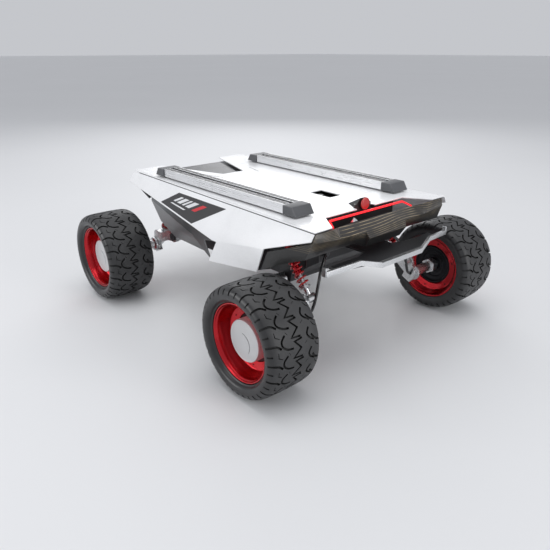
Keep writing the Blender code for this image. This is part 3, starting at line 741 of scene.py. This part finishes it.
# ---------------------------------------------------------------- suspension
for e, s, tag in CORNERS:
    dress("rocker_arm" + tag, SILVER, 0.6)
    dress("axle" + tag, SILVER, 0.5)
    dress("shock_body" + tag, RED, 0.35)
    dress("shock_rod" + tag, SILVER, 0.35)
    # a round-wire coil between the two seats
    top = Vector((e * 164.0, s * 119.0, 177.5))
    foot = Vector((e * 219.0, s * 119.0, 107.5))
    down = (foot - top).normalized()
    across = Vector((0.0, 1.0, 0.0))
    third = down.cross(across)
    line = []
    low, high, coils = 16.4, 67.6, 6.5
    steps = 150
    for k in range(steps + 1):
        t = k / steps
        turn = coils * t + 0.45 * (math.sin(math.pi * (t - 0.5)) * 0.5 + 0.5)
        rise = t
        flat = 0.06
        rise = 0.0 if t < flat * 0.5 else (1.0 if t > 1.0 - flat * 0.5 else (t - flat * 0.5) / (1.0 - flat))
        line.append(tuple(top + down * (low + (high - low) * rise) + (across * math.cos(2 * math.pi * turn)
                                                                      + third * math.sin(2 * math.pi * turn)) * 8.0))
    coil = tube("coil_spring" + tag, line, 1.4, SPRING, 8, 1)
    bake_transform(coil)
    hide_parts("shock_spring" + tag)
    # the motor's cable: out of the hull's end wall, over and down into the hollow axle
    route = [(198, 74, 168), (208, 77, 167), (215, 86, 162), (220, 98, 148), (224, 107, 130), (226, 114, 108),
             (226, 120, 92), (226, 128, 84.8), (226, 135, 84.4), (226, 141, 84.4)]
    cable = tube("motor_cable" + tag, [(e * x, s * y, z) for x, y, z in route], 2.5, CABLE, 10, 6)
    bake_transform(cable)
    gland = bmesh.new()
    # a ribbed grommet where the cable leaves the hull
    rings = []
    for x, r in ((204.0, 5.4), (208.2, 5.4), (208.6, 4.6), (210.0, 4.6), (210.4, 5.0), (211.8, 4.8), (212.2, 4.1),
                 (213.6, 4.0), (214.0, 2.7)):
        ring = [gland.verts.new((e * x * MM, (s * 76.6 + r * math.cos(2 * math.pi * k / 20)) * MM,
                                 (168.0 + r * math.sin(2 * math.pi * k / 20)) * MM)) for k in range(20)]
        rings.append(ring)
    for a, b in zip(rings, rings[1:]):
        for k in range(20):
            gland.faces.new((a[k], a[(k + 1) % 20], b[(k + 1) % 20], b[k]))
    gland.faces.new(rings[0])
    gland.faces.new(rings[-1])
    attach(new_object("cable_grommet" + tag, gland, HOUSING, 40.0), "chassis")

for place in ("front", "rear"):
    dress("suspension_carrier_" + place, ARM, 0.6)

# ---------------------------------------------------------------- body
dress("top_cover", WHITE, 0.45)
for tag in ("left", "right"):
    dress("side_panel_" + tag, WHITE, 0.45)
    dress("skirt_" + tag, SKIRT, 0.5)
dress("hull_tub", HULL, 0.8)
dress("battery_pack", PACK, 1.0)
dress("connector_panel", HOUSING, 0.5)
dress("front_panel", CONTOUR, 0.5)
dress("rear_panel", BLACK, 0.5)
dress("light_strip", GLOW, 0.3)
dress("stop_button_housing", HOUSING, 0.7, 3)
dress("stop_button", BUTTON, 0.5, 3)
dress("hatch_latch", SILVER, 0.35)
dress("bumper_bar", SILVER, 0.9, 3)
dress("bumper_mount", ARM, 0.8)
for end in ("front", "rear"):
    for tag in ("left", "right"):
        dress("end_cap_%s_%s" % (end, tag), PLASTIC, 0.6, 3)

# rails: bright sides, black top with the slot's light edges
for s, tag in ((-1, "right"), (1, "left")):
    node = "rail_" + tag
    low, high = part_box(node)
    work = bmesh.new()
    work.from_mesh(NODES[node].data)
    bmesh.ops.remove_doubles(work, verts=work.verts, dist=0.000005)
    bmesh.ops.dissolve_limit(work, angle_limit=math.radians(0.4), verts=work.verts, edges=work.edges)
    work.normal_update()
    for face in work.faces:
        middle = face.calc_center_median()
        outside = abs(abs(middle.y - s * 0.1151) - 0.017) < 0.0008
        face.material_index = 1 if outside else 0
    rail = new_object("slotted_rail_" + tag, work, [RAIL_TOP, RAIL_SIDE])
    bevel(rail, 0.45, 2)
    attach(rail, "chassis")
    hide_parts(node)
    x0, x1 = low.x / MM + 0.6, high.x / MM - 0.6
    # bright lines: the slot's lips and the two drawn ribs on the black top
    for k, (y, w) in enumerate(((-4.9, 0.5), (4.9, 0.5), (-10.2, 0.35), (10.2, 0.35), (-15.2, 0.8), (15.2, 0.8))):
        c = s * 115.1 + y
        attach(plate("rail_line_%s_%d" % (tag, k), [(x0, c - w, 248.12), (x1, c - w, 248.12), (x1, c + w, 248.12),
                                                    (x0, c + w, 248.12)], (0.0, 0.0, -0.3), RAIL_SIDE), "chassis")


def side_y(x, z):
    return 148.73 + 0.0296 * x + (231.2 - z) / 1.65


# graphics on the side panels: a dark slanted field with plain slanted bars in it
for s, tag in ((-1, "right"), (1, "left")):
    def on(x, z, lift=0.18):
        return (x, s * (side_y(x, z) + lift), z + lift * 0.6)

    field = [(-89.9, 220.7), (58.8, 221.7), (-16.3, 184.0), (-136.6, 196.9)]
    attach(plate("graphic_field_" + tag, [on(x, z) for x, z in field], (0.0, -s * 0.16, -0.08), PRINT_BLACK), "chassis")
    tl, tr, br, bl = [Vector(p) for p in field]

    def spot(u, v):
        a, b = tl.lerp(tr, u), bl.lerp(br, u)
        return a.lerp(b, v)

    bars = [(0.16, 0.22, 0.2, 0.56), (0.26, 0.35, 0.2, 0.56), (0.39, 0.44, 0.2, 0.56), (0.48, 0.58, 0.2, 0.56),
            (0.18, 0.56, 0.68, 0.74)]
    for k, (u0, u1, v0, v1) in enumerate(bars):
        corners = [spot(u0, v0), spot(u1, v0), spot(u1 - 0.02, v1), spot(u0 - 0.02, v1)]
        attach(plate("graphic_bar_%s_%d" % (tag, k), [on(p.x, p.y, 0.3) for p in corners], (0.0, -s * 0.1, -0.05),
                      PRINT_PALE), "chassis")
    corners = [spot(0.66, 0.2), spot(0.75, 0.2), spot(0.73, 0.58), spot(0.64, 0.58)]
    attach(plate("graphic_mark_" + tag, [on(p.x, p.y, 0.3) for p in corners], (0.0, -s * 0.1, -0.05), PRINT_RED),
            "chassis")


def strip(name, a, b, width, material, z=231.32):
    """A narrow joint line on the cover, from a to b."""
    a, b = Vector(a), Vector(b)
    run = (b - a).normalized()
    side = Vector((-run.y, run.x)) * width / 2.0
    pts = [a + side, b + side, b - side, a - side]
    thing = plate(name, [(p.x, p.y, z) for p in pts], (0.0, 0.0, -0.25), material)
    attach(thing, "chassis")
    return thing


strip("cover_joint_front", (160.0, -96.0), (160.0, 96.0), 0.9, SOFT_SEAM)
for s, tag in ((-1, "right"), (1, "left")):
    strip("cover_slit_" + tag, (-148.0, s * 56.0), (-102.0, s * 45.0), 1.6, SEAM)
    strip("cover_joint_side_" + tag, (-272.0, s * 137.6), (255.0, s * 153.2), 0.7, SOFT_SEAM)

# ---------------------------------------------------------------- camera
eye = Vector((0.7616, -0.6634, 0.4617))
azimuth, pitch = math.radians(48.9381), math.radians(22.2361)
back = Vector((math.sin(azimuth) * math.cos(pitch), -math.cos(azimuth) * math.cos(pitch), math.sin(pitch)))
camera_data = bpy.data.cameras.new("camera")
camera_data.sensor_width = 36.0
camera_data.lens = 36.0 * 548.06 / 550.0
camera_data.shift_y = -0.0027
camera_data.clip_start, camera_data.clip_end = 0.01, 60.0
camera = bpy.data.objects.new("camera", camera_data)
SCENE.collection.objects.link(camera)
camera.location = eye
camera.rotation_mode = "QUATERNION"
camera.rotation_quaternion = (-back).to_track_quat("-Z", "Y")
SCENE.camera = camera
SCENE.view_settings.view_transform = "Standard"

# ---------------------------------------------------------------- floor and light
floor_work = bmesh.new()
bmesh.ops.create_grid(floor_work, x_segments=1, y_segments=1, size=45.0)
floor = new_object("floor", floor_work, surface("pale_floor", (0.74, 0.745, 0.755), 0.0, (0.45, 0.55), 40.0, 0.01, 0.6,
                                                0.02))
floor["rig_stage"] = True


def area(name, place, aim, size, power, colour=(1.0, 1.0, 1.0)):
    data = bpy.data.lights.new(name, "AREA")
    data.shape = "RECTANGLE"
    data.size, data.size_y = size
    data.energy = power
    data.color = colour
    lamp = bpy.data.objects.new(name, data)
    SCENE.collection.objects.link(lamp)
    lamp.location = place
    lamp.rotation_mode = "QUATERNION"
    lamp.rotation_quaternion = (Vector(aim) - Vector(place)).to_track_quat("-Z", "Y")
    lamp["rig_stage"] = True


area("over", (0.1, -0.1, 2.1), (0.0, 0.0, 0.15), (2.2, 1.6), 17.0)
area("left_side", (-1.0, -2.1, 0.9), (0.0, -0.1, 0.12), (1.8, 0.9), 15.0)
area("front", (2.3, 0.6, 0.8), (0.1, 0.0, 0.12), (0.9, 1.4), 14.0)
area("back", (-1.9, 1.6, 1.3), (0.0, 0.0, 0.15), (1.6, 0.8), 14.0)
world = SCENE.world or bpy.data.worlds.new("world")
SCENE.world = world
world.use_nodes = True
world.node_tree.nodes["Background"].inputs["Color"].default_value = (0.93, 0.95, 1.0, 1.0)
world.node_tree.nodes["Background"].inputs["Strength"].default_value = 0.6

low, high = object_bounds()
